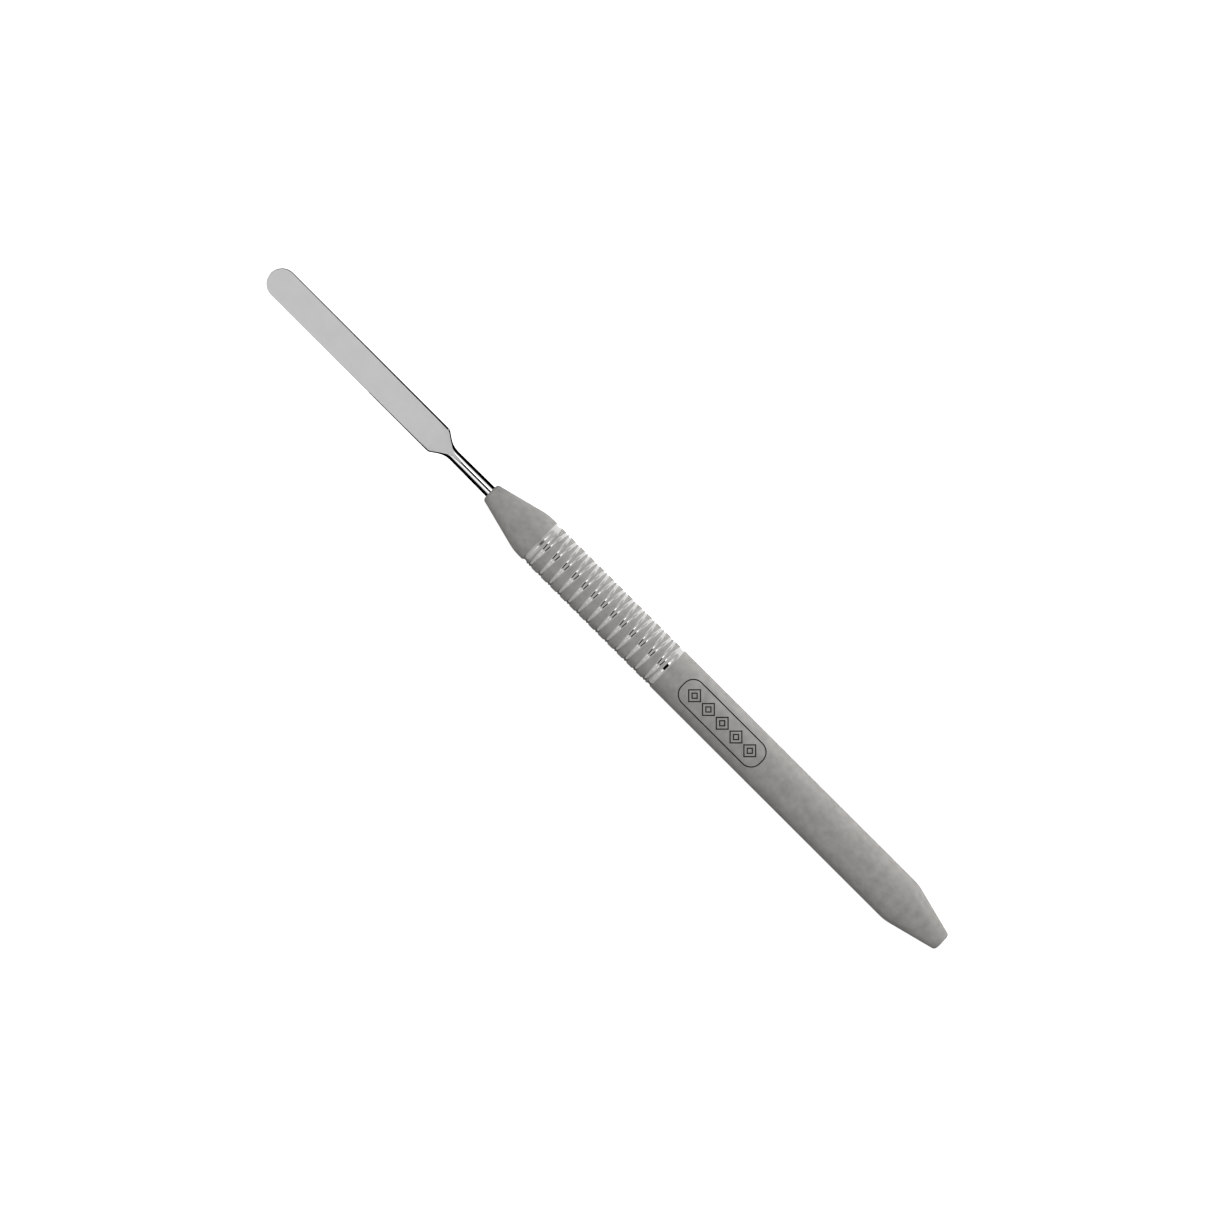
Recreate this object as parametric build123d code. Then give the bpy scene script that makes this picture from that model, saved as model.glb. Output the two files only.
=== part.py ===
"""Ink knife: a narrow spring-steel spreading blade on a hollow round steel handle.

The blade, its shank and its tang are one forging. The handle is a tube closed by two turned plugs: a
nose cone that holds the tang, and a blunt tail cone. Three rings of hard solder seal the hollow. The
front of the tube has a finger grip: a right-hand and a left-hand screw groove of the same pitch, cut
over each other between two ring grooves, which leave lozenge-shaped lands.

Everything is drawn along one line, the knife's axis, with X as the distance back from the blade tip.
place() then puts it in the part's own frame: +X out of the blade tip, +Z out of the blade's upper
face, and the origin under the middle of the knife, on the surface that it lies on. Sizes are in
millimetres.
"""

from build123d import *
import math
import os

# Stations, from the blade tip
BLADE_LENGTH = 45.3  # to the sharp corner of the shoulder
TAPER_END = 42.0  # the blade's even taper ends here and its faces begin to rise to the shank
NECK = 48.0  # where the shoulder's flank would meet the shank
FLATS_END = 53.0  # the two flat faces rise this far, and run out on the round shank a little before
NOSE_FACE = 59.2
NOSE_CONE_END = 70.2
FRONT_RING = 73.08  # middle of the front ring groove, and the joint between nose and tube
TAIL_JOINT = 168.6
TAIL_CONE_START = 169.95
LENGTH = 180.8

# Blade and shank
BLADE_HALF_WIDTH = 3.0
TIP_HALF_THICKNESS = 0.25
ROOT_HALF_THICKNESS = 0.45
NECK_RADIUS = 1.13
SHANK_RADIUS = 1.23  # at the nose, and of the tang
FLATS_END_SLOPE = 0.06
SHOULDER_ROUND = 1.2
EDGE_ROUND = 0.18
NECK_ROUND = 4.6

# Handle
BARREL_RADIUS = 4.75
BORE_RADIUS = 3.85
RIM_RADIUS = 4.8  # the nose's rim stands a little proud of the tube
NOSE_FACE_RADIUS = 1.95
TAIL_FACE_RADIUS = 1.94
FACE_ROUND = 0.7
NOSE_SHOULDER_ROUND = 10.0
TAIL_SHOULDER_ROUND = 9.0
RIM_ROUND = 0.2
SPIGOT_LENGTH = 6.0
SPIGOT_CHAMFER = 0.4
TAIL_DRILL_RADIUS = 2.0
TAIL_DRILL_DEPTH = 10.0

# Grip
GRIP_PITCH = 2.56
GRIP_TURNS = 13
GROOVE_WIDTH = 0.60
RIGHT_HAND_DEPTH = 0.15
LEFT_HAND_DEPTH = 0.17  # a second pass over the first, a little deeper
FRONT_RING_WIDTH = 1.20
FRONT_RING_DEPTH = 0.28
REAR_RING_WIDTH = 1.06
REAR_RING_DEPTH = 0.21
CROSSING_ANGLE = 43.0  # degrees from straight up, towards +Y, of the row where the two grooves cross
SEAM_ANGLE = 300.0  # turns the blank's seam line away from the grooves' start and their crossings
LEAST_CHIPS = 40.0  # cubic millimetres that the screw grooves take off

# Tang and solder
TANG_LENGTH = 16.0
TANG_CHAMFER = 0.3
RING_GROOVE_WIDTH = 0.6
TANG_RING = 61.2
TANG_RING_DEPTH = 0.25
NOSE_RING = 74.8
TAIL_RING = 166.8
SPIGOT_RING_DEPTH = 0.30

# Etched panel on the tube: a rounded border around a row of lozenges, one inside another
PANEL_MIDDLE = 121.5
PANEL_LENGTH = 21.1
PANEL_WIDTH = 5.6
PANEL_CORNER = 2.4
ETCH_LINE = 0.24
ETCH_DEPTH = 0.06
LOZENGES = 5
LOZENGE_PITCH = 3.7
LOZENGE_SIZES = (3.5, 1.7)  # outer and inner, from corner to corner

REAR_RING = FRONT_RING + GRIP_TURNS * GRIP_PITCH
TANG_END = NOSE_FACE + TANG_LENGTH


def tool_radius(width, depth):
    """Radius of the round tool that leaves a groove of this width and depth."""
    return (width**2 / 4 + depth**2) / (2 * depth)


def place(shape):
    """Turns a shape drawn back from the tip into the part's own frame."""
    return Pos(LENGTH / 2, 0, RIM_RADIUS) * Rot(0, 0, 180) * shape


def turned(profile):
    """The solid swept by a profile, drawn above the X axis, when it turns about that axis."""
    return revolve(profile, Axis.X)


def corner_at(profile, point):
    """The profile's corner nearest to a point."""
    return min(profile.vertices(), key=lambda corner: abs(Vector(corner) - Vector(*point)))


def rounded(profile, point, radius):
    """The profile with its corner nearest to a point rounded off."""
    return fillet(corner_at(profile, point), radius)


def bevelled(profile, point, length):
    """The profile with its corner nearest to a point cut off at 45 degrees."""
    return chamfer(corner_at(profile, point), length)


def ring(start, width, inner, outer):
    """A flat-sided ring around the axis."""
    return turned(Pos(start + width / 2, (inner + outer) / 2) * Rectangle(width, outer - inner))


def ring_groove(station, width, depth):
    """The round tool's section where it turns a ring groove into the tube."""
    radius = tool_radius(width, depth)
    return Pos(station, BARREL_RADIUS - depth + radius) * Circle(radius)


def screw_groove(depth, left_hand):
    """A round tool's sweep along one hand of the grip's screw grooves. It starts in the front ring
    groove, on the side opposite to the row of crossings, and ends in the rear one."""
    radius = tool_radius(GROOVE_WIDTH, depth)
    line = Helix(
        pitch=GRIP_PITCH,
        height=GRIP_TURNS * GRIP_PITCH,
        radius=BARREL_RADIUS - depth + radius,
        direction=(1, 0, 0),
        lefthand=left_hand,
    )
    section = Plane(origin=line @ 0, z_dir=line % 0) * Circle(radius)
    start = line @ 0
    start_angle = math.degrees(math.atan2(-start.Y, start.Z))
    turn = CROSSING_ANGLE + 180 - start_angle
    return Pos(FRONT_RING, 0, 0) * Rot(turn, 0, 0) * sweep(section, path=line, is_frenet=True)


def lozenge_line(size):
    """The outline of a square that stands on its corner."""
    half = size / 2
    lozenge = Polygon((-half, 0), (0, -half), (half, 0), (0, half))
    return lozenge - offset(lozenge, amount=-ETCH_LINE, kind=Kind.INTERSECTION)


def etched_lines():
    """The panel's lines: a border and a row of lozenges."""
    outer = RectangleRounded(PANEL_LENGTH, PANEL_WIDTH, PANEL_CORNER)
    lines = outer - offset(outer, amount=-ETCH_LINE)
    for i in range(LOZENGES):
        middle = (i - (LOZENGES - 1) / 2) * LOZENGE_PITCH
        for size in LOZENGE_SIZES:
            lines += Pos(middle, 0) * lozenge_line(size)
    return lines


def blade_blank():
    """The outline seen from above, turned about the axis: blade, shoulder, neck, shank and tang."""
    tip = CenterArc((BLADE_HALF_WIDTH, 0), BLADE_HALF_WIDTH, 90, 90)
    edge = Polyline(
        (0, 0),
        (TANG_END, 0),
        (TANG_END, SHANK_RADIUS),
        (NOSE_FACE, SHANK_RADIUS),
        (NECK, NECK_RADIUS),
        (BLADE_LENGTH, BLADE_HALF_WIDTH),
        (BLADE_HALF_WIDTH, BLADE_HALF_WIDTH),
    )
    outline = make_face(tip + edge)
    outline = rounded(outline, (BLADE_LENGTH, BLADE_HALF_WIDTH), SHOULDER_ROUND)
    outline = rounded(outline, (NECK, NECK_RADIUS), NECK_ROUND)
    outline = bevelled(outline, (TANG_END, SHANK_RADIUS), TANG_CHAMFER)
    return turned(outline)


def side_slab():
    """What the forging leaves between its two flat faces, seen from the side. The faces rise from the
    blade in a smooth curve until they are outside the round shank."""
    blade_slope = (ROOT_HALF_THICKNESS - TIP_HALF_THICKNESS) / TAPER_END
    blade = Polyline((0, 0), (0, TIP_HALF_THICKNESS), (TAPER_END, ROOT_HALF_THICKNESS))
    rise = Spline(
        (TAPER_END, ROOT_HALF_THICKNESS),
        (FLATS_END, SHANK_RADIUS),
        tangents=[(1, blade_slope), (1, FLATS_END_SLOPE)],
    )
    clear = Polyline((FLATS_END, SHANK_RADIUS), (NOSE_FACE, 2 * SHANK_RADIUS), (LENGTH, 2 * SHANK_RADIUS))
    back = Polyline((LENGTH, 2 * SHANK_RADIUS), (LENGTH, 0), (0, 0))
    half = make_face(Plane.XZ * (blade + rise + clear + back))
    width = 4 * BLADE_HALF_WIDTH
    slab = Pos(0, -width / 2, 0) * extrude(half, amount=width, dir=(0, 1, 0))
    return slab + mirror(slab, Plane.XY)


def working_end():
    """Blade, shank and tang in one piece."""
    forging = blade_blank() & side_slab()
    straight_edges = [
        edge
        for edge in forging.edges()
        if abs(edge.center().Z) > TIP_HALF_THICKNESS / 2
        and edge.bounding_box().max.X < TAPER_END + EDGE_ROUND
        and edge.length > BLADE_HALF_WIDTH
    ]
    forging = fillet(straight_edges, EDGE_ROUND)
    groove = ring(TANG_RING, RING_GROOVE_WIDTH, SHANK_RADIUS - TANG_RING_DEPTH, SHANK_RADIUS + 1)
    return forging - groove


def nose_cone():
    """The turned front plug. Its bore takes the tang and its spigot presses into the tube."""
    profile = Polygon(
        (NOSE_FACE, SHANK_RADIUS),
        (NOSE_FACE, NOSE_FACE_RADIUS),
        (NOSE_CONE_END, RIM_RADIUS),
        (FRONT_RING, RIM_RADIUS),
        (FRONT_RING, BORE_RADIUS),
        (FRONT_RING + SPIGOT_LENGTH, BORE_RADIUS),
        (FRONT_RING + SPIGOT_LENGTH, SHANK_RADIUS),
        align=None,
    )
    profile = rounded(profile, (NOSE_FACE, NOSE_FACE_RADIUS), FACE_ROUND)
    profile = rounded(profile, (NOSE_CONE_END, RIM_RADIUS), NOSE_SHOULDER_ROUND)
    profile -= ring_groove(FRONT_RING, FRONT_RING_WIDTH, FRONT_RING_DEPTH)
    profile = rounded(profile, (FRONT_RING - FRONT_RING_WIDTH / 2, RIM_RADIUS), RIM_ROUND)
    profile = bevelled(profile, (FRONT_RING + SPIGOT_LENGTH, BORE_RADIUS), SPIGOT_CHAMFER)
    groove = ring(NOSE_RING, RING_GROOVE_WIDTH, BORE_RADIUS - SPIGOT_RING_DEPTH, BORE_RADIUS + 0.1)
    return turned(profile) - groove


def handle_tube():
    """The tube with its ring grooves, the crossing screw grooves of the grip and the etched panel."""
    profile = Pos(FRONT_RING, BORE_RADIUS) * Rectangle(
        TAIL_JOINT - FRONT_RING, BARREL_RADIUS - BORE_RADIUS, align=Align.MIN
    )
    profile -= ring_groove(FRONT_RING, FRONT_RING_WIDTH, FRONT_RING_DEPTH)
    profile -= ring_groove(REAR_RING, REAR_RING_WIDTH, REAR_RING_DEPTH)
    blank = Rot(SEAM_ANGLE, 0, 0) * turned(profile)
    tube = blank - (screw_groove(RIGHT_HAND_DEPTH, False) + screw_groove(LEFT_HAND_DEPTH, True))
    if tube.volume > blank.volume - LEAST_CHIPS:
        raise ValueError("the screw grooves were not cut")
    etched = Pos(PANEL_MIDDLE, 0, 0) * extrude(etched_lines(), amount=2 * BARREL_RADIUS)
    floor_radius = BARREL_RADIUS - ETCH_DEPTH
    skin = ring(PANEL_MIDDLE - PANEL_LENGTH, 2 * PANEL_LENGTH, floor_radius, 2 * BARREL_RADIUS)
    return tube - (etched & skin)


def tail_cone():
    """The turned rear plug: a blunt cone with a spigot, drilled out to save weight."""
    inner_end = TAIL_JOINT - SPIGOT_LENGTH
    profile = Polygon(
        (inner_end, TAIL_DRILL_RADIUS),
        (inner_end, BORE_RADIUS),
        (TAIL_JOINT, BORE_RADIUS),
        (TAIL_JOINT, BARREL_RADIUS),
        (TAIL_CONE_START, BARREL_RADIUS),
        (LENGTH, TAIL_FACE_RADIUS),
        (LENGTH, 0),
        (inner_end + TAIL_DRILL_DEPTH, 0),
        (inner_end + TAIL_DRILL_DEPTH, TAIL_DRILL_RADIUS),
        align=None,
    )
    profile = rounded(profile, (TAIL_CONE_START, BARREL_RADIUS), TAIL_SHOULDER_ROUND)
    profile = rounded(profile, (LENGTH, TAIL_FACE_RADIUS), FACE_ROUND)
    profile = bevelled(profile, (inner_end, BORE_RADIUS), SPIGOT_CHAMFER)
    groove = ring(TAIL_RING, RING_GROOVE_WIDTH, BORE_RADIUS - SPIGOT_RING_DEPTH, BORE_RADIUS + 0.1)
    return turned(profile) - groove


PARTS = {
    "working_end": working_end(),
    "nose_cone": nose_cone(),
    "handle_tube": handle_tube(),
    "tail_cone": tail_cone(),
    "tang_solder_ring": ring(TANG_RING, RING_GROOVE_WIDTH, SHANK_RADIUS - TANG_RING_DEPTH, SHANK_RADIUS),
    "nose_solder_ring": ring(NOSE_RING, RING_GROOVE_WIDTH, BORE_RADIUS - SPIGOT_RING_DEPTH, BORE_RADIUS),
    "tail_solder_ring": ring(TAIL_RING, RING_GROOVE_WIDTH, BORE_RADIUS - SPIGOT_RING_DEPTH, BORE_RADIUS),
}

os.makedirs("parts", exist_ok=True)
for name, shape in PARTS.items():
    export_step(place(shape), f"parts/{name}.step")
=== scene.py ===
import math
from collections import Counter

import bpy
import bmesh
import numpy as np
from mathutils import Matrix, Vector


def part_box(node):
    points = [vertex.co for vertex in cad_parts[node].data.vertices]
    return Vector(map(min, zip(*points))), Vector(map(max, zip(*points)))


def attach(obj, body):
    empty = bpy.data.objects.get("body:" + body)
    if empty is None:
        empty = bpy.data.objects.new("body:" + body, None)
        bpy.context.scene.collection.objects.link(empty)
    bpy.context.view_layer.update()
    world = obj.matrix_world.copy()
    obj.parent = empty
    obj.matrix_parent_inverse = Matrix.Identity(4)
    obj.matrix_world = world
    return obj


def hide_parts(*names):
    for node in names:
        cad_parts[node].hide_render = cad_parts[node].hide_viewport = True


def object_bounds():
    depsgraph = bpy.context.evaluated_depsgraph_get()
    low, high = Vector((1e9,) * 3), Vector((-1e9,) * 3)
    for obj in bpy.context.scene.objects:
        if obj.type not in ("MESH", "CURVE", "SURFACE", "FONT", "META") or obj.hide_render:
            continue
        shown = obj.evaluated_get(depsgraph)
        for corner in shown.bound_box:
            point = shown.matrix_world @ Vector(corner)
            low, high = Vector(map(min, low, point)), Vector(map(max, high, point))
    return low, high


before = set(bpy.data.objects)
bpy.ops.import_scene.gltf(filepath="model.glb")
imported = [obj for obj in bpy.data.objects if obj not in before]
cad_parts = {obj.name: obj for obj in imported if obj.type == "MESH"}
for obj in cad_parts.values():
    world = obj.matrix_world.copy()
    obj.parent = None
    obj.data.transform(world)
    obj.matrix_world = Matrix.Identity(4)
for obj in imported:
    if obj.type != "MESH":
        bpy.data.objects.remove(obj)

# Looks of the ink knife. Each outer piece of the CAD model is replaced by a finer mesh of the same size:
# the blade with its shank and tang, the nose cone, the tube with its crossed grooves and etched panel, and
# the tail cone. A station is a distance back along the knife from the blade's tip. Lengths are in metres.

MM = 0.001
cad_low, cad_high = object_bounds()

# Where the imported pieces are
TIP_X = cad_high.x
LENGTH = cad_high.x - cad_low.x
tube_low, tube_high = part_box("handle_tube")
nose_low, nose_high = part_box("nose_cone")
tail_low, tail_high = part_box("tail_cone")
end_low, end_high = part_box("working_end")
AXIS_Z = (tube_low.z + tube_high.z) / 2
TUBE_RADIUS = (tube_high.y - tube_low.y) / 2
RIM_RADIUS = (nose_high.y - nose_low.y) / 2
BLADE_HALF_WIDTH = (end_high.y - end_low.y) / 2
SHANK_RADIUS = (end_high.z - end_low.z) / 2
NOSE_FACE = TIP_X - nose_high.x
NOSE_END = TIP_X - nose_low.x
FRONT_RING = TIP_X - tube_high.x
TAIL_JOINT = TIP_X - tube_low.x
TAIL_START = TIP_X - tail_high.x
TANG_END = TIP_X - end_low.x

# Blade, shank and tang
SHOULDER = 45.3 * MM
NECK = 48.0 * MM
NECK_RADIUS = 1.13 * MM
SHOULDER_ROUND = 1.2 * MM
NECK_ROUND = 4.6 * MM
TAPER_END = 42.0 * MM
FLATS_END = 53.0 * MM
FLATS_END_SLOPE = 0.06
TIP_HALF_THICKNESS = 0.25 * MM
ROOT_HALF_THICKNESS = 0.45 * MM
BEVEL_WIDTHS = {  # of the +Y and -Y edges, each at the tip and at the shoulder, in half thicknesses
    1: (0.1, 0.5),
    -1: (0.64, 0.76),
}
FLANK_WIDTH = 0.42  # the same, at the shoulder's flanks
FLANK_BLEND = 1 * MM  # before and after the shoulder, over which the one becomes the other
ROUNDING_RISE = 0.4  # height over reach of a rib, above which its bevel begins to turn into the round shank
BEVEL_POWER = 1.95  # shape of the blade's bevels, from 1 for round to 2 for flat
TANG_CHAMFER = 0.3 * MM

# Nose and tail cones
BORE_RADIUS = 3.85 * MM
CONE_END = NOSE_FACE + 11.0 * MM
NOSE_FACE_RADIUS = 1.95 * MM
TAIL_CONE_START = TAIL_JOINT + 1.35 * MM
TAIL_FACE_RADIUS = 1.94 * MM
FACE_ROUND = 0.7 * MM
NOSE_SHOULDER_ROUND = 10.0 * MM
TAIL_SHOULDER_ROUND = 9.0 * MM
SPIGOT_CHAMFER = 0.4 * MM
TAIL_DRILL_RADIUS = 2.0 * MM
TAIL_DRILL_END = TAIL_START + 10.0 * MM

# Grip
PITCH = 2.56 * MM
TURNS = 13
GROOVE_WIDTH = 0.60 * MM
GROOVE_DEPTH = 0.16 * MM
FRONT_RING_WIDTH = 1.20 * MM
FRONT_RING_DEPTH = 0.28 * MM
REAR_RING_WIDTH = 1.06 * MM
REAR_RING_DEPTH = 0.21 * MM
EDGE_BLEND = 0.012 * MM  # how far the grooves' edges are eased
CROSSING_ANGLE = math.radians(43)  # where the two hands of groove cross, from straight up towards +Y
REAR_RING = FRONT_RING + TURNS * PITCH
BARREL_START = REAR_RING + REAR_RING_WIDTH / 2

# Etched panel
PANEL_MIDDLE = 121.5 * MM
PANEL_LENGTH = 21.1 * MM
PANEL_WIDTH = 5.6 * MM
PANEL_CORNER = 2.4 * MM
ETCH_LINE = 0.24 * MM
ETCH_DEPTH = 0.06 * MM
ETCH_CLEARANCE = 3 * ETCH_DEPTH  # how far the cutter stands out of the tube
LOZENGES = 5
LOZENGE_PITCH = 3.7 * MM
LOZENGE_SIZES = (3.5 * MM, 1.7 * MM)  # an outer one and an inner one, from corner to corner

# Studio: soft boxes and a shade overhead, a white floor, and cards beside the knife. The key side is -Y and
# the fill side is +Y, and a table with the keys -1 and 1 has a value for each.
BOX_DISTANCE = 1.5
BOX_LENGTH = 1.3
SHADE_LENGTH = 2.6
SHADE_ANGLE = 19  # from straight up to the shade's edge, in degrees
BOXES = [  # name, side, first and last angle from straight up in degrees, brightness
    ("key_upper", -1, SHADE_ANGLE, 32, 1.8),
    ("key_lower", -1, 32, 57, 0.4),
    ("fill_upper", 1, 16, 31, 0.85),
    ("fill_lower", 1, 31, 57, 0.25),
]
ROOM_BRIGHTNESS = 0.62
FLOOR_SIZE = 6.0
FLOOR_GLOW = 0.95
CARD_HEIGHT = 0.1 * MM  # of the lying cards above the floor
CARD_OVERHANG = 60 * MM  # how far they go on past the tail
TIP_OVERHANG = 120 * MM  # and past the tip
BOUNCE_LIGHT = {-1: 4.8, 1: 0.0}  # how strongly the bounce cards light the handle
BOUNCE_START = {-1: 18 * MM, 1: 0}  # how far from the axis they begin to light it
BOUNCE_SHINE = {-1: 1.1, 1: 0.5}  # how bright they look in reflections
SHINE_START = {-1: 0, 1: 11 * MM}  # how far from the axis they begin to show there
SHADE_STRIP_SHINE = 0.12  # brightness of the strip between them and the axis: painted floor shade beside the knife, seen only in reflections
BOUNCE_REACH = 60 * MM  # from the axis to the white cards' far edge
SHEET_REACH = 30 * MM  # from the axis to the black sheets' far edge
BLACK_START = {-1: -60 * MM, 1: 29 * MM}  # station where the black sheets begin
STANDING_REACH = 4 * MM  # from the axis out to the black cards that stand beside the shank
STANDING_TOP = 3 * MM  # of those cards, above the axis
FLAG_ELEVATION = math.radians(40)  # how high the flag beyond the fill side's cards looks from the knife

# Camera
LENS = 150  # in millimetres, as the sensor's width is
SENSOR_WIDTH = 36
VIEW_WIDTH = 231.6 * MM  # at the height of the axis
VIEW_MIDDLE = (-0.03 * MM, -0.17 * MM)
VIEW_TURN = math.radians(224.95)  # puts the blade at the top left

# Mesh fineness
COLUMNS = 192  # round the handle's turned surfaces
BARREL_ROWS = 40
RING_STEPS = 12  # across a ring groove, or half of one
GROOVE_STEPS = 6  # from a screw groove's middle to its edge
LAND_STEPS = 17  # from a screw groove's edge to halfway to the next groove
ARC_STEP = math.radians(5)
TIP_RIBS = 32
RIB_STRETCHES = [  # first and last station, and the number of ribs between them
    (BLADE_HALF_WIDTH, SHOULDER, 44),
    (SHOULDER, FLATS_END, 60),
    (FLATS_END, NOSE_FACE, 12),
    (NOSE_FACE, TANG_END, 6),
]
EDGE_RIB_STEPS = 12  # over a rib's bevel
FLAT_RIB_STEPS = 6  # over a rib's flat
BORDER_STEPS = 40  # along a straight side of the panel's border
CORNER_STEPS = 12  # round one of its corners
LOZENGE_STEPS = 12  # along a side of a lozenge
MERGE_DISTANCE = 0.00001 * MM
SHARP_ANGLE = math.radians(28)


# ---------------------------------------------------------------- outlines

def rounded_path(corners):
    """Points along a line of (station, radius, rounding) corners, with each corner turned into an arc."""
    path = []
    for i, (s, r, rounding) in enumerate(corners):
        corner = Vector((s, r))
        if rounding == 0 or i in (0, len(corners) - 1):
            path.append(corner)
            continue
        before = (Vector(corners[i - 1][:2]) - corner).normalized()
        after = (Vector(corners[i + 1][:2]) - corner).normalized()
        half = before.angle(after) / 2
        middle = corner + (before + after).normalized() * rounding / math.sin(half)
        start = corner + before * rounding / math.tan(half) - middle
        turn = start.angle_signed(corner + after * rounding / math.tan(half) - middle)
        steps = max(2, round(abs(turn) / ARC_STEP))
        for k in range(steps + 1):
            a = -turn * k / steps
            spin = Vector((
                start.x * math.cos(a) - start.y * math.sin(a),
                start.x * math.sin(a) + start.y * math.cos(a),
            ))
            path.append(middle + spin)
    return [(p.x, p.y) for p in path]


def tool_radius(width, depth):
    """Radius of the round tool that leaves a groove of this width and depth."""
    return (width**2 / 4 + depth**2) / (2 * depth)


def ring_arc(station, width, depth, start, end):
    """Points across a ring groove's floor, from one offset from its middle to another."""
    tool = tool_radius(width, depth)
    middle = TUBE_RADIUS - depth + tool
    points = []
    for k in range(RING_STEPS + 1):
        u = start + (end - start) * k / RING_STEPS
        points.append((station + u, middle - math.sqrt(tool**2 - u**2)))
    return points


def ring_reach(width, depth, radius):
    """How far from a ring groove's middle its floor comes up to a radius."""
    tool = tool_radius(width, depth)
    return math.sqrt(tool**2 - (TUBE_RADIUS - depth + tool - radius) ** 2)


# ---------------------------------------------------------------- meshes

def in_frame(station, y, z):
    """A point's place in the frame, from its station and its offsets from the axis."""
    return (TIP_X - station, y, AXIS_Z + z)


def on_axis(station, radius, angle):
    """A point at an angle round the axis, measured from straight up towards +Y."""
    return in_frame(station, radius * math.sin(angle), radius * math.cos(angle))


def add_object(name, data):
    piece = bpy.data.objects.new(name, data)
    bpy.context.scene.collection.objects.link(piece)
    return piece


def shade_smooth(mesh):
    mesh.polygons.foreach_set("use_smooth", [True] * len(mesh.polygons))


def add_piece(name, points, faces, zones=None):
    """A closed piece from points and faces, shaded smooth, with its faces turned outwards. With zones, which
    are the faces' material numbers, points that lie together are joined first."""
    mesh = bpy.data.meshes.new(name)
    mesh.from_pydata(points, [], faces)
    if zones:
        mesh.polygons.foreach_set("material_index", zones)
    work = bmesh.new()
    work.from_mesh(mesh)
    if zones:
        bmesh.ops.remove_doubles(work, verts=work.verts, dist=MERGE_DISTANCE)
        bmesh.ops.dissolve_degenerate(work, edges=work.edges, dist=MERGE_DISTANCE)
    bmesh.ops.recalc_face_normals(work, faces=work.faces)
    work.to_mesh(mesh)
    work.free()
    shade_smooth(mesh)
    return add_object(name, mesh)


def paint(piece, materials, choose):
    """Gives each face the material whose number choose() returns for its station and radius."""
    piece.data.materials.clear()
    for material in materials:
        piece.data.materials.append(material)
    numbers = []
    for face in piece.data.polygons:
        c = face.center
        numbers.append(choose(TIP_X - c.x, math.hypot(c.y, c.z - AXIS_Z)))
    piece.data.polygons.foreach_set("material_index", numbers)


def ring_of_points(station, radius):
    return [on_axis(station, radius, 2 * math.pi * k / COLUMNS) for k in range(COLUMNS)]


def strip(first, second):
    """Faces between two rings of points that start at these numbers."""
    faces = []
    for k in range(COLUMNS):
        n = (k + 1) % COLUMNS
        faces.append((first + k, first + n, second + n, second + k))
    return faces


def turned_piece(name, profile):
    """A solid turned from a closed profile of (station, radius) points. Points on the axis become poles."""
    points, starts, faces = [], [], []
    for station, radius in profile:
        starts.append(len(points))
        if radius == 0:
            points.append(in_frame(station, 0, 0))
        else:
            points += ring_of_points(station, radius)
    for i, first in enumerate(starts):
        j = (i + 1) % len(starts)
        second = starts[j]
        on_pole = profile[i][1] == 0, profile[j][1] == 0
        if all(on_pole):
            continue
        if not any(on_pole):
            faces += strip(first, second)
            continue
        pole, ring = (first, second) if on_pole[0] else (second, first)
        faces += [(pole, ring + k, ring + (k + 1) % COLUMNS) for k in range(COLUMNS)]
    return add_piece(name, points, faces)


def zipper(inner, inner_angles, outer, outer_angles):
    """Triangles between two rings with different numbers of points, each a list of point numbers with
    rising angles that start in the same place."""
    faces = []
    full = 2 * math.pi
    a = list(inner_angles) + [inner_angles[0] + full]
    b = list(outer_angles) + [outer_angles[0] + full]
    i = j = 0
    while i < len(inner) or j < len(outer):
        p, q = inner[i % len(inner)], outer[j % len(outer)]
        if j == len(outer) or (i < len(inner) and a[i + 1] <= b[j + 1]):
            faces.append((p, inner[(i + 1) % len(inner)], q))
            i += 1
        else:
            faces.append((p, outer[(j + 1) % len(outer)], q))
            j += 1
    return faces


# ---------------------------------------------------------------- working end

def half_thickness(station):
    """Half the distance between the two flat faces: an even taper, then a smooth rise to the shank."""
    slope = (ROOT_HALF_THICKNESS - TIP_HALF_THICKNESS) / TAPER_END
    if station <= TAPER_END:
        return TIP_HALF_THICKNESS + slope * station
    if station >= FLATS_END:
        return SHANK_RADIUS + FLATS_END_SLOPE * (station - FLATS_END)
    run = FLATS_END - TAPER_END
    t = (station - TAPER_END) / run
    return (
        (2 * t**3 - 3 * t**2 + 1) * ROOT_HALF_THICKNESS
        + (t**3 - 2 * t**2 + t) * run * slope
        + (3 * t**2 - 2 * t**3) * SHANK_RADIUS
        + (t**3 - t**2) * run * FLATS_END_SLOPE
    )


def blade_ribs():
    """Ribs from the blade's middle line out to its edge, as (middle station, edge station, half width)."""
    ribs = []
    for k in range(TIP_RIBS):
        a = math.pi / 2 * k / TIP_RIBS
        edge = BLADE_HALF_WIDTH * (1 - math.cos(a))
        ribs.append((BLADE_HALF_WIDTH, edge, BLADE_HALF_WIDTH * math.sin(a)))
    outline = rounded_path([
        (BLADE_HALF_WIDTH, BLADE_HALF_WIDTH, 0),
        (SHOULDER, BLADE_HALF_WIDTH, SHOULDER_ROUND),
        (NECK, NECK_RADIUS, NECK_ROUND),
        (NOSE_FACE, SHANK_RADIUS, 0),
        (TANG_END - TANG_CHAMFER, SHANK_RADIUS, 0),
        (TANG_END, SHANK_RADIUS - TANG_CHAMFER, 0),
    ])
    stations = [p[0] for p in outline]
    widths = [p[1] for p in outline]
    between = np.concatenate([np.linspace(*stretch) for stretch in RIB_STRETCHES])
    for s in sorted(set(stations) | set(between.tolist())):
        ribs.append((s, s, float(np.interp(s, stations, widths))))
    return ribs


def smooth_step(value, low, high):
    """A smooth step from 0 at the low value to 1 at the high one."""
    t = min(1, max(0, (value - low) / (high - low)))
    return t * t * (3 - 2 * t)


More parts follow.
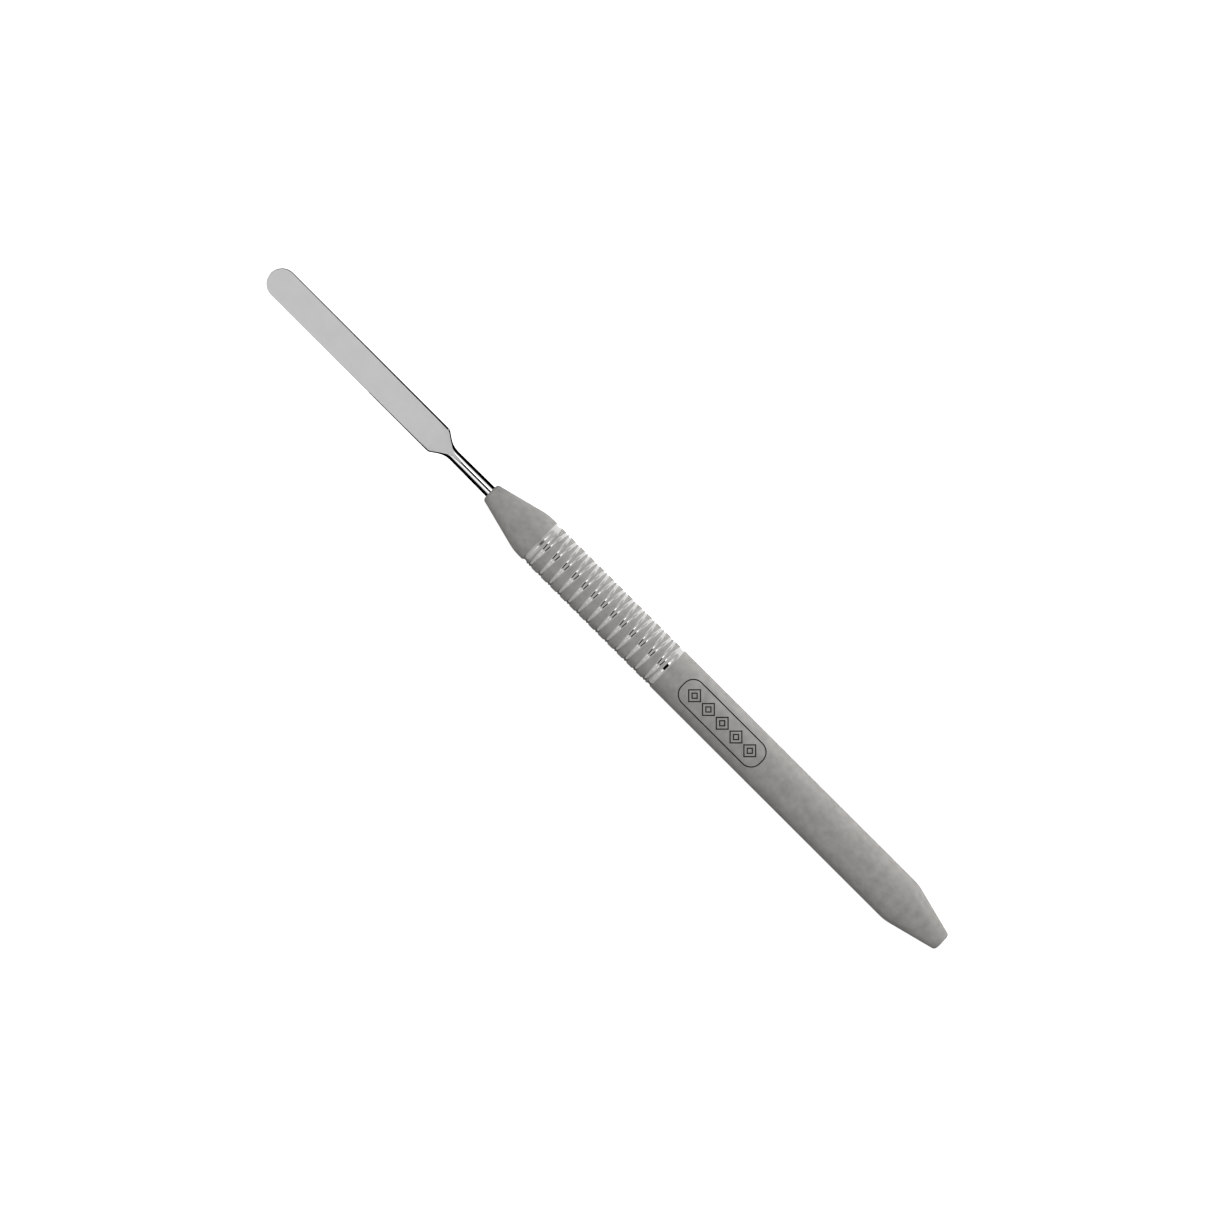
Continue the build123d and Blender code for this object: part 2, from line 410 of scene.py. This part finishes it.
def edge_shape(station, height, reach, half_width, side):
    """Width of an edge's bevel, in half thicknesses, and its power: each blade edge has its own width, the
    flanks are squarer, and the shank is round. Both edges are alike on the middle line, at the tip."""
    widths = {}
    for y_side, (tip, root) in BEVEL_WIDTHS.items():
        widths[y_side] = tip + (root - tip) * min(1, station / SHOULDER)
    middle = sum(widths.values()) / 2
    blade = middle + (widths[side] - middle) * min(1, half_width / BLADE_HALF_WIDTH)
    flank = smooth_step(station, SHOULDER - FLANK_BLEND, SHOULDER + FLANK_BLEND)
    shank = smooth_step(height / reach, ROUNDING_RISE, 1.0) if reach else 0
    width = (blade * (1 - flank) + FLANK_WIDTH * flank) * (1 - shank) + shank
    return width, BEVEL_POWER + (1 - BEVEL_POWER) * shank


def rib_points(rib, side):
    """The upper half of one rib on one side, from its edge to the middle, as (station, y, z): a bevel, then
    the flat face. The bevel turns into a quarter of a circle where the shank leaves no flat."""
    middle, edge, half_width = rib
    reach = math.hypot(middle - edge, half_width)
    height = min(half_thickness(edge), reach)
    width, power = edge_shape(edge, height, reach, half_width, side)
    width = min(width * height, reach)
    distances = []
    for k in range(EDGE_RIB_STEPS + 1):
        a = math.pi / 2 * k / EDGE_RIB_STEPS
        distances.append((reach - width * (1 - abs(math.cos(a)) ** power), math.sin(a) ** power))
    for k in range(1, FLAT_RIB_STEPS + 1):
        distances.append(((reach - width) * (1 - k / FLAT_RIB_STEPS), 1.0))
    points = []
    for distance, rise in distances:
        out = distance / reach if reach else 0
        station = middle + (edge - middle) * out
        top = half_thickness(station) if middle != edge else height
        points.append((station, side * half_width * out, top * rise))
    return points


def working_end():
    """Blade, shoulder, shank and tang: four quarters built from ribs, above and below on each side. Material
    0 is for the bevels and the round shank, and 1 for the flat faces."""
    ribs = blade_ribs()
    count = EDGE_RIB_STEPS + FLAT_RIB_STEPS + 1
    points, faces, zones = [], [], []
    for y_side in (1, -1):
        rows = [rib_points(rib, y_side) for rib in ribs]
        for z_side in (1, -1):
            first = len(points)
            for row in rows:
                points += [in_frame(s, y, z_side * z) for s, y, z in row]
            for i in range(len(rows) - 1):
                for k in range(count - 1):
                    a = first + i * count + k
                    faces.append((a, a + 1, a + count + 1, a + count))
                    zones.append(1 if k >= EDGE_RIB_STEPS else 0)
            last = first + (len(rows) - 1) * count
            centre = len(points)
            points.append(in_frame(TANG_END, 0, 0))
            for k in range(count - 1):
                faces.append((centre, last + k, last + k + 1))
                zones.append(0)
    piece = add_piece("blade_and_shank", points, faces, zones)
    piece.data.set_sharp_from_angle(angle=SHARP_ANGLE)
    return piece


# ---------------------------------------------------------------- handle

def nose():
    """The nose cone with its spigot. Its rear face meets the tube in the middle of the front ring groove."""
    reach = ring_reach(FRONT_RING_WIDTH, FRONT_RING_DEPTH, RIM_RADIUS)
    profile = rounded_path([
        (NOSE_FACE, SHANK_RADIUS, 0),
        (NOSE_FACE, NOSE_FACE_RADIUS, FACE_ROUND),
        (CONE_END, RIM_RADIUS, NOSE_SHOULDER_ROUND),
        (FRONT_RING - reach, RIM_RADIUS, 0),
    ])
    profile += ring_arc(FRONT_RING, FRONT_RING_WIDTH, FRONT_RING_DEPTH, -reach, 0)[1:]
    profile += [
        (FRONT_RING, BORE_RADIUS),
        (NOSE_END - SPIGOT_CHAMFER, BORE_RADIUS),
        (NOSE_END, BORE_RADIUS - SPIGOT_CHAMFER),
        (NOSE_END, SHANK_RADIUS),
    ]
    return turned_piece("nose", profile)


def tail():
    """The tail cone with its drilled spigot."""
    profile = [(TAIL_DRILL_END, 0), (TAIL_DRILL_END, TAIL_DRILL_RADIUS), (TAIL_START, TAIL_DRILL_RADIUS)]
    profile += [(TAIL_START, BORE_RADIUS - SPIGOT_CHAMFER), (TAIL_START + SPIGOT_CHAMFER, BORE_RADIUS)]
    profile += [(TAIL_JOINT, BORE_RADIUS)]
    profile += rounded_path([
        (TAIL_JOINT, TUBE_RADIUS, 0),
        (TAIL_CONE_START, TUBE_RADIUS, TAIL_SHOULDER_ROUND),
        (LENGTH, TAIL_FACE_RADIUS, FACE_ROUND),
        (LENGTH, 0, 0),
    ])
    return turned_piece("tail", profile)


def soft_max(a, b):
    """The larger of two values, eased where they are nearly equal."""
    return (a + b + np.sqrt((a - b) ** 2 + EDGE_BLEND**2)) / 2


def groove_floor(offset, width, depth):
    """A groove's depth at an offset from its middle. It goes on rising, below zero, outside the groove."""
    return depth * (1 - (2 * offset / width) ** 2)


def grip_lines():
    """Offsets of the mesh lines that run along one hand of groove, over one pitch, the same both ways."""
    half = GROOVE_WIDTH / 2
    steps = [half * k / GROOVE_STEPS for k in range(GROOVE_STEPS)]
    steps += [half + (PITCH / 2 - half) * k / LAND_STEPS for k in range(LAND_STEPS)]
    return np.array(steps + [PITCH / 2] + [PITCH - s for s in reversed(steps[1:])])


def grip_surface():
    """The grip's outer surface. Its mesh lines run along both hands of groove, so every groove has clean
    edges. Returns the points, the faces, the angles round the axis of the first and last rings' points, and
    the number of the last ring's first point."""
    lines = grip_lines()
    n = len(lines)
    rows = 2 * TURNS * n
    level, k = np.meshgrid(np.arange(rows + 1), np.arange(n), indexing="ij")
    across = 2 * k + level % 2
    i, j = (level + across) // 2, (level - across) // 2
    a = (i // n) * PITCH + lines[i % n]
    b = (j // n) * PITCH + lines[j % n]
    along = (a + b) / 2
    angle = (a - b) * math.pi / PITCH
    nearest_a = (a + PITCH / 2) % PITCH - PITCH / 2
    nearest_b = (b + PITCH / 2) % PITCH - PITCH / 2
    depth = soft_max(
        groove_floor(nearest_a, GROOVE_WIDTH, GROOVE_DEPTH),
        groove_floor(nearest_b, GROOVE_WIDTH, GROOVE_DEPTH),
    )
    depth = soft_max(depth, groove_floor(along, FRONT_RING_WIDTH, FRONT_RING_DEPTH))
    depth = soft_max(depth, groove_floor(along - TURNS * PITCH, REAR_RING_WIDTH, REAR_RING_DEPTH))
    depth = soft_max(depth, 0.0)
    turn = CROSSING_ANGLE + math.pi + angle
    points = np.stack(
        [
            TIP_X - FRONT_RING - along,
            (TUBE_RADIUS - depth) * np.sin(turn),
            AXIS_Z + (TUBE_RADIUS - depth) * np.cos(turn),
        ],
        axis=-1,
    ).reshape(-1, 3)

    def number(i, j):
        level = i + j
        return level * n + ((i - j) % (2 * n) - level % 2) // 2

    faces = []
    for step in range(-1, rows):
        for start in range(n):
            across = 2 * start + step % 2
            i, j = (step + across) // 2, (step - across) // 2
            right, left = number(i + 1, j), number(i, j + 1)
            if step == -1:
                faces.append((right, number(i + 1, j + 1), left))
            elif step == rows - 1:
                faces.append((number(i, j), right, left))
            else:
                faces.append((number(i, j), right, number(i + 1, j + 1)))
                faces.append((number(i, j), number(i + 1, j + 1), left))
    return points.tolist(), faces, turn[0].tolist(), turn[-1].tolist(), rows * n


def sorted_ring(numbers, angles):
    """A ring's point numbers and angles, both put in order of angle from 0 to a full turn."""
    pairs = sorted((angle % (2 * math.pi), number) for angle, number in zip(angles, numbers))
    return [number for _, number in pairs], [angle for angle, _ in pairs]


def tube():
    """The tube: the grooved grip, the rear half of the rear ring groove, the plain barrel and the bore."""
    points, faces, first_angles, last_angles, last_start = grip_surface()
    n = len(first_angles)
    even = [2 * math.pi * k / COLUMNS for k in range(COLUMNS)]
    front, front_angles = sorted_ring(range(n), first_angles)
    rear, rear_angles = sorted_ring(range(last_start, last_start + n), last_angles)
    outline = ring_arc(REAR_RING, REAR_RING_WIDTH, REAR_RING_DEPTH, 0, REAR_RING_WIDTH / 2)[1:]
    for k in range(1, BARREL_ROWS + 1):
        outline.append((BARREL_START + (TAIL_JOINT - BARREL_START) * k / BARREL_ROWS, TUBE_RADIUS))
    outline.append((TAIL_JOINT, BORE_RADIUS))
    outline.append((FRONT_RING, BORE_RADIUS))
    starts = []
    for station, radius in outline:
        starts.append(len(points))
        points += ring_of_points(station, radius)
    for first, second in zip(starts, starts[1:]):
        faces += strip(first, second)
    faces += zipper(rear, rear_angles, [starts[0] + k for k in range(COLUMNS)], even)
    faces += zipper(front, front_angles, [starts[-1] + k for k in range(COLUMNS)], even)
    return add_piece("grip_tube", points, faces)


def panel_outlines():
    """The etched lines' middles as closed outlines of (along, across) points: a border and lozenges."""
    border = []
    corner = PANEL_CORNER - ETCH_LINE / 2
    centre_x = PANEL_LENGTH / 2 - PANEL_CORNER
    centre_y = PANEL_WIDTH / 2 - PANEL_CORNER
    for quarter in range(4):
        x = centre_x if quarter in (0, 3) else -centre_x
        y = centre_y if quarter < 2 else -centre_y
        for k in range(CORNER_STEPS + 1):
            a = math.pi / 2 * (quarter + k / CORNER_STEPS)
            border.append((x + corner * math.cos(a), y + corner * math.sin(a)))
        if quarter % 2 == 0:
            for k in range(1, BORDER_STEPS):
                border.append((x - math.copysign(2 * centre_x, x) * k / BORDER_STEPS, border[-1][1]))
    outlines = [border]
    for lozenge in range(LOZENGES):
        middle = (lozenge - (LOZENGES - 1) / 2) * LOZENGE_PITCH
        for size in LOZENGE_SIZES:
            half = size / 2 - ETCH_LINE / math.sqrt(2)
            corners = [(half, 0), (0, half), (-half, 0), (0, -half)]
            outline = []
            for (x0, y0), (x1, y1) in zip(corners, corners[1:] + corners[:1]):
                for k in range(LOZENGE_STEPS):
                    t = k / LOZENGE_STEPS
                    outline.append((middle + x0 + (x1 - x0) * t, y0 + (y1 - y0) * t))
            outlines.append(outline)
    return outlines


def etch_cutter():
    """A solid that stands in the tube's surface along the panel's lines, to cut them out."""
    points, faces = [], []
    floor, top = TUBE_RADIUS - ETCH_DEPTH, TUBE_RADIUS + ETCH_CLEARANCE
    for outline in panel_outlines():
        first = len(points)
        count = len(outline)
        for k, here in enumerate(outline):
            before = (Vector(here) - Vector(outline[k - 1])).normalized()
            after = (Vector(outline[(k + 1) % count]) - Vector(here)).normalized()
            along = (before + after).normalized()
            side = Vector((-along.y, along.x)) * ETCH_LINE / 2 / along.dot(after)
            for offset in (side, -side):
                x, y = here[0] + offset.x, here[1] + offset.y
                angle = math.asin(y / TUBE_RADIUS)
                points += [on_axis(PANEL_MIDDLE + x, floor, angle), on_axis(PANEL_MIDDLE + x, top, angle)]
        for k in range(count):
            p, q = first + 4 * k, first + 4 * ((k + 1) % count)
            for u, v in ((0, 1), (1, 3), (3, 2), (2, 0)):
                faces.append((p + u, p + v, q + v, q + u))
    return add_piece("etch_cutter", points, faces)


def split_many_sided(mesh):
    """Splits the many-sided faces that a cut leaves into well-shaped triangles. Where two of them share a
    nearly straight run of points, each can leave the same sliver, one facing out and one in. Such pairs are
    taken out."""
    work = bmesh.new()
    work.from_mesh(mesh)
    many_sided = [face for face in work.faces if len(face.verts) > 4]
    bmesh.ops.triangulate(work, faces=many_sided, ngon_method="BEAUTY")
    corners = {face: frozenset(face.verts) for face in work.faces}
    uses = Counter(corners.values())
    slivers = [face for face in work.faces if uses[corners[face]] > 1]
    bmesh.ops.delete(work, geom=slivers, context="FACES")
    work.to_mesh(mesh)
    work.free()


def etch(piece):
    """Cuts the panel's lines into the tube."""
    cutter = etch_cutter()
    cut = piece.modifiers.new("etch", "BOOLEAN")
    cut.operation = "DIFFERENCE"
    cut.solver = "MANIFOLD"
    cut.object = cutter
    bpy.context.view_layer.update()
    shape = piece.evaluated_get(bpy.context.evaluated_depsgraph_get())
    mesh = bpy.data.meshes.new_from_object(shape)
    piece.modifiers.clear()
    piece.data = mesh
    bpy.data.objects.remove(cutter)
    split_many_sided(mesh)
    shade_smooth(mesh)


def round_normals(piece):
    """Makes the barrel's shading follow the true cylinder, so the cut panel leaves no mark round it."""
    mesh = piece.data
    mesh.set_sharp_from_angle(angle=SHARP_ANGLE)
    normals = [(0.0, 0.0, 0.0)] * len(mesh.loops)
    for face in mesh.polygons:
        outward = Vector((0, face.center.y, face.center.z - AXIS_Z))
        station = TIP_X - face.center.x
        on_skin = station > BARREL_START and outward.length > TUBE_RADIUS - ETCH_DEPTH / 2
        faces_out = face.normal.dot(outward.normalized()) > math.cos(SHARP_ANGLE)
        if on_skin and faces_out:
            for loop in face.loop_indices:
                place = mesh.vertices[mesh.loops[loop].vertex_index].co
                normals[loop] = Vector((0, place.y, place.z - AXIS_Z)).normalized()
    mesh.normals_split_custom_set(normals)


# ---------------------------------------------------------------- materials

def new_material(name):
    material = bpy.data.materials.new(name)
    material.use_nodes = True
    return material, material.node_tree.nodes, material.node_tree.links


def noise(nodes, links, scale, detail, stretch=(1, 1, 1)):
    """Noise over the object's own coordinates, drawn out along an axis where stretch is below 1."""
    place = nodes.new("ShaderNodeTexCoord")
    mapping = nodes.new("ShaderNodeMapping")
    mapping.inputs["Scale"].default_value = stretch
    texture = nodes.new("ShaderNodeTexNoise")
    texture.inputs["Scale"].default_value = scale
    texture.inputs["Detail"].default_value = detail
    texture.inputs["Roughness"].default_value = 0.6
    links.new(place.outputs["Object"], mapping.inputs["Vector"])
    links.new(mapping.outputs["Vector"], texture.inputs["Vector"])
    return texture.outputs["Fac"]


def ramp(nodes, links, value, low, high, low_colour, high_colour):
    """Colours a value between two stops."""
    node = nodes.new("ShaderNodeValToRGB")
    node.color_ramp.elements[0].position = low
    node.color_ramp.elements[1].position = high
    node.color_ramp.elements[0].color = (*low_colour, 1)
    node.color_ramp.elements[1].color = (*high_colour, 1)
    links.new(value, node.inputs["Fac"])
    return node.outputs["Color"]


def map_range(nodes, links, value, low, high):
    """Maps a value of 0 to 1 onto a range."""
    node = nodes.new("ShaderNodeMapRange")
    node.inputs["To Min"].default_value = low
    node.inputs["To Max"].default_value = high
    links.new(value, node.inputs["Value"])
    return node.outputs["Result"]


def bump(nodes, links, height, distance):
    """A surface raised by this distance where the height is 1."""
    node = nodes.new("ShaderNodeBump")
    node.inputs["Strength"].default_value = 1.0
    node.inputs["Distance"].default_value = distance
    links.new(height, node.inputs["Height"])
    return node.outputs["Normal"]


def steel(name, colours, rough, grain, mottle_scale=260, metal=1.0):
    """Metal with a slow mottle between two colours and a fine grain, which varies its roughness and raises
    its surface. The grain is given as its scale, its stretch and its height."""
    scale, stretch, height = grain
    material, nodes, links = new_material(name)
    shader = nodes["Principled BSDF"]
    shader.inputs["Metallic"].default_value = metal
    mottle = noise(nodes, links, mottle_scale, detail=5)
    marks = noise(nodes, links, scale, detail=4, stretch=stretch)
    links.new(ramp(nodes, links, mottle, 0.3, 0.7, *colours), shader.inputs["Base Color"])
    links.new(map_range(nodes, links, marks, *rough), shader.inputs["Roughness"])
    links.new(bump(nodes, links, marks, height), shader.inputs["Normal"])
    return material


def satin_steel():
    """Blasted steel, which does not brighten towards its edges as a smooth surface would."""
    colours = (0.352, 0.342, 0.33), (0.448, 0.436, 0.422)
    grain = 2600, (1, 1, 1), 0.018 * MM
    material = steel("satin_steel", colours, (0.52, 0.66), grain, mottle_scale=650, metal=0.4)
    shader = material.node_tree.nodes["Principled BSDF"]
    shader.inputs["Specular IOR Level"].default_value = 0.1
    shader.inputs["Specular Tint"].default_value = (0.3, 0.3, 0.3, 1)
    return material


def groove_steel(name, rough):
    """Turned steel, with its tool marks round the handle."""
    colours = (0.60, 0.59, 0.58), (0.66, 0.65, 0.64)
    return steel(name, colours, rough, (900, (6, 1, 1), 0.002 * MM))


def blade_steel():
    """Steel brushed along the blade."""
    colours = (0.91, 0.91, 0.91), (0.95, 0.95, 0.95)
    return steel("blade_steel", colours, (0.53, 0.59), (700, (0.06, 1, 1), 0.002 * MM))


def polished_steel():
    colours = (0.80, 0.80, 0.80), (0.86, 0.86, 0.86)
    return steel("polished_steel", colours, (0.02, 0.05), (700, (0.1, 1, 1), 0.0008 * MM))


def etched_steel():
    """The dark, dull floor of an etched line."""
    colours = (0.018, 0.017, 0.016), (0.050, 0.047, 0.044)
    return steel("etched_steel", colours, (0.55, 0.75), (3000, (1, 1, 1), 0.01 * MM))


def solder():
    colours = (0.62, 0.56, 0.40), (0.74, 0.69, 0.54)
    return steel("solder", colours, (0.25, 0.45), (1500, (1, 1, 1), 0.01 * MM))


# ---------------------------------------------------------------- pieces in place

def stand_in(piece, node):
    """Puts a finished piece in a CAD node's place."""
    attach(piece, "root")
    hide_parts(node)


def make_working_end():
    piece = working_end()
    piece.data.materials.append(polished_steel())
    piece.data.materials.append(blade_steel())
    stand_in(piece, "working_end")


def nose_zone(station, radius):
    """Material number on the nose: 0 for satin steel, 1 for the ring groove and what lies behind it."""
    return int(station > FRONT_RING - ring_reach(FRONT_RING_WIDTH, FRONT_RING_DEPTH, RIM_RADIUS))


def tube_zone(station, radius):
    """Material number on the tube: 0 for satin steel, 1 for the bright grooves, 2 for the etched lines' walls
    and floors, which lie between the bore and the skin, and 3 for the front ring groove."""
    if station > BARREL_START:
        return 2 if BORE_RADIUS + ETCH_DEPTH < radius < TUBE_RADIUS - ETCH_DEPTH / 4 else 0
    if radius > TUBE_RADIUS - 1.5 * EDGE_BLEND:
        return 0
    return 3 if station < FRONT_RING + FRONT_RING_WIDTH / 2 else 1


def make_handle():
    satin, etched = satin_steel(), etched_steel()
    bright = groove_steel("groove_steel", (0.03, 0.06))
    turned = groove_steel("ring_steel", (0.24, 0.32))

    nose_piece = nose()
    nose_piece.data.set_sharp_from_angle(angle=SHARP_ANGLE)
    paint(nose_piece, [satin, turned], nose_zone)
    stand_in(nose_piece, "nose_cone")

    tube_piece = tube()
    etch(tube_piece)
    round_normals(tube_piece)
    paint(tube_piece, [satin, bright, etched, turned], tube_zone)
    stand_in(tube_piece, "handle_tube")

    tail_piece = tail()
    tail_piece.data.set_sharp_from_angle(angle=SHARP_ANGLE)
    paint(tail_piece, [satin], lambda station, radius: 0)
    stand_in(tail_piece, "tail_cone")


def finish_solder():
    material = solder()
    for name in ("tang_solder_ring", "nose_solder_ring", "tail_solder_ring"):
        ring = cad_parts[name]
        ring.data.materials.clear()
        ring.data.materials.append(material)


# ---------------------------------------------------------------- studio

def rectangle(x0, x1, y0, y1, z):
    return [(x0, y0, z), (x1, y0, z), (x1, y1, z), (x0, y1, z)]


def flat_piece(name, corners):
    mesh = bpy.data.meshes.new(name)
    mesh.from_pydata(corners, [], [(0, 1, 2, 3)])
    return add_object(name, mesh)


def make_floor():
    """A white sheet, bright enough to look white all over. It neither lights the knife nor shows in its
    reflections, which the cards do instead."""
    half = FLOOR_SIZE / 2
    floor = flat_piece("floor", rectangle(-half, half, -half, half, 0))
    material, nodes, _ = new_material("floor_paper")
    shader = nodes["Principled BSDF"]
    shader.inputs["Base Color"].default_value = (0.9, 0.9, 0.9, 1)
    shader.inputs["Roughness"].default_value = 0.9
    shader.inputs["Emission Color"].default_value = (1, 1, 1, 1)
    shader.inputs["Emission Strength"].default_value = FLOOR_GLOW
    floor.data.materials.append(material)
    floor.visible_glossy = False
    floor.visible_diffuse = False


def softbox(name, side, start, end, brightness):
    """A long box over the knife, on its +Y or -Y side, that fills these angles down from straight up."""
    middle = math.radians((start + end) / 2)
    width = 2 * BOX_DISTANCE * math.tan(math.radians((end - start) / 2))
    data = bpy.data.lights.new(name, "AREA")
    data.shape = "RECTANGLE"
    data.size = BOX_LENGTH
    data.size_y = width
    data.energy = brightness * math.pi * BOX_LENGTH * width
    light = add_object(name, data)
    light.location = (0, side * BOX_DISTANCE * math.sin(middle), BOX_DISTANCE * math.cos(middle))
    light.rotation_euler = (-side * middle, 0, 0)


def card(name, corners, brightness, shine=True):
    """A card that the camera doesn't see. It only shows in reflections or, without shine, only lights."""
    piece = flat_piece(name, corners)
    material, nodes, links = new_material(name)
    nodes.clear()
    glow = nodes.new("ShaderNodeEmission")
    glow.inputs["Strength"].default_value = brightness
    out = nodes.new("ShaderNodeOutputMaterial")
    links.new(glow.outputs["Emission"], out.inputs["Surface"])
    piece.data.materials.append(material)
    piece.visible_camera = False
    piece.visible_glossy = shine
    piece.visible_diffuse = not shine
    piece.visible_transmission = False
    piece.visible_shadow = False


def lying_card(name, x_range, side, y_range, brightness, shine=True, layers=1):
    """A card just above the floor, on one side of the axis. With two layers it lies on top of another."""
    corners = rectangle(*x_range, side * y_range[0], side * y_range[1], layers * CARD_HEIGHT)
    card(name, corners, brightness, shine)


def standing_card(name, x_range, y, top, brightness, shine=True):
    """A card that stands beside the knife, along it."""
    x0, x1 = x_range
    corners = [(x0, y, CARD_HEIGHT), (x1, y, CARD_HEIGHT), (x1, y, top), (x0, y, top)]
    card(name, corners, brightness, shine)


def make_cards():
    """Under the blade, black and white sheets. Round the shank, black cards that give the polished steel its
    dark outline. Beside the handle, bounce cards, a black flag, and a dim strip by the axis that is painted
    floor shade in reflections. Overhead, a shade round the lens."""
    tail_x = TIP_X - LENGTH - CARD_OVERHANG
    nose_x = TIP_X - NOSE_FACE
    shoulder_x = TIP_X - SHOULDER
    handle = (tail_x, nose_x)
    shank = (nose_x, shoulder_x)
    handle_and_shank = (tail_x, shoulder_x)
    for side, word in ((-1, "key"), (1, "fill")):
        black_x = TIP_X - BLACK_START[side]
        blade_root = (shoulder_x, black_x)
        blade_tip = (black_x, TIP_X + TIP_OVERHANG)
        shine_y = SHINE_START[side]
        shine = BOUNCE_SHINE[side]
        lying_card("black_sheet_" + word, blade_root, side, (0, SHEET_REACH), 0)
        lying_card("white_sheet_" + word, blade_tip, side, (0, BOUNCE_REACH), shine)
        lying_card("black_floor_" + word, shank, side, (0, STANDING_REACH), 0, layers=2)
        standing_card("black_card_" + word, shank, side * STANDING_REACH, AXIS_Z + STANDING_TOP, 0)
        lying_card("bounce_shine_" + word, handle_and_shank, side, (shine_y, BOUNCE_REACH), shine)
        # the strip is painted shade: a dim card between the axis and the bounce card, standing in for the
        # floor's shade next to the knife in reflections
        if shine_y:
            lying_card("floor_shade_strip_" + word, handle_and_shank, side, (0, shine_y), SHADE_STRIP_SHINE)
        lit = (BOUNCE_START[side], BOUNCE_REACH)
        lying_card("bounce_light_" + word, handle, side, lit, BOUNCE_LIGHT[side], shine=False)
    flag_top = BOUNCE_REACH * math.tan(FLAG_ELEVATION)
    standing_card("flag", handle, BOUNCE_REACH, flag_top, 0, shine=False)
    half_length = SHADE_LENGTH / 2
    half_width = BOX_DISTANCE * math.tan(math.radians(SHADE_ANGLE))
    card("lens_shade", rectangle(-half_length, half_length, -half_width, half_width, BOX_DISTANCE), 0)


def make_lights():
    """The soft boxes and an even, white room."""
    for name, side, start, end, brightness in BOXES:
        softbox(name, side, start, end, brightness)
    world = bpy.data.worlds.new("studio")
    world.use_nodes = True
    background = world.node_tree.nodes["Background"]
    background.inputs["Color"].default_value = (1, 1, 1, 1)
    background.inputs["Strength"].default_value = ROOM_BRIGHTNESS
    bpy.context.scene.world = world
    bpy.context.scene.view_settings.view_transform = "Standard"


def make_camera():
    """Straight above the knife, looking down through a long lens."""
    data = bpy.data.cameras.new("camera")
    data.lens = LENS
    data.sensor_width = SENSOR_WIDTH
    camera = add_object("camera", data)
    camera.location = (*VIEW_MIDDLE, AXIS_Z + VIEW_WIDTH * LENS / SENSOR_WIDTH)
    camera.rotation_euler = (0, 0, VIEW_TURN)
    bpy.context.scene.camera = camera


make_camera()
make_working_end()
make_handle()
finish_solder()
make_floor()
make_lights()
make_cards()
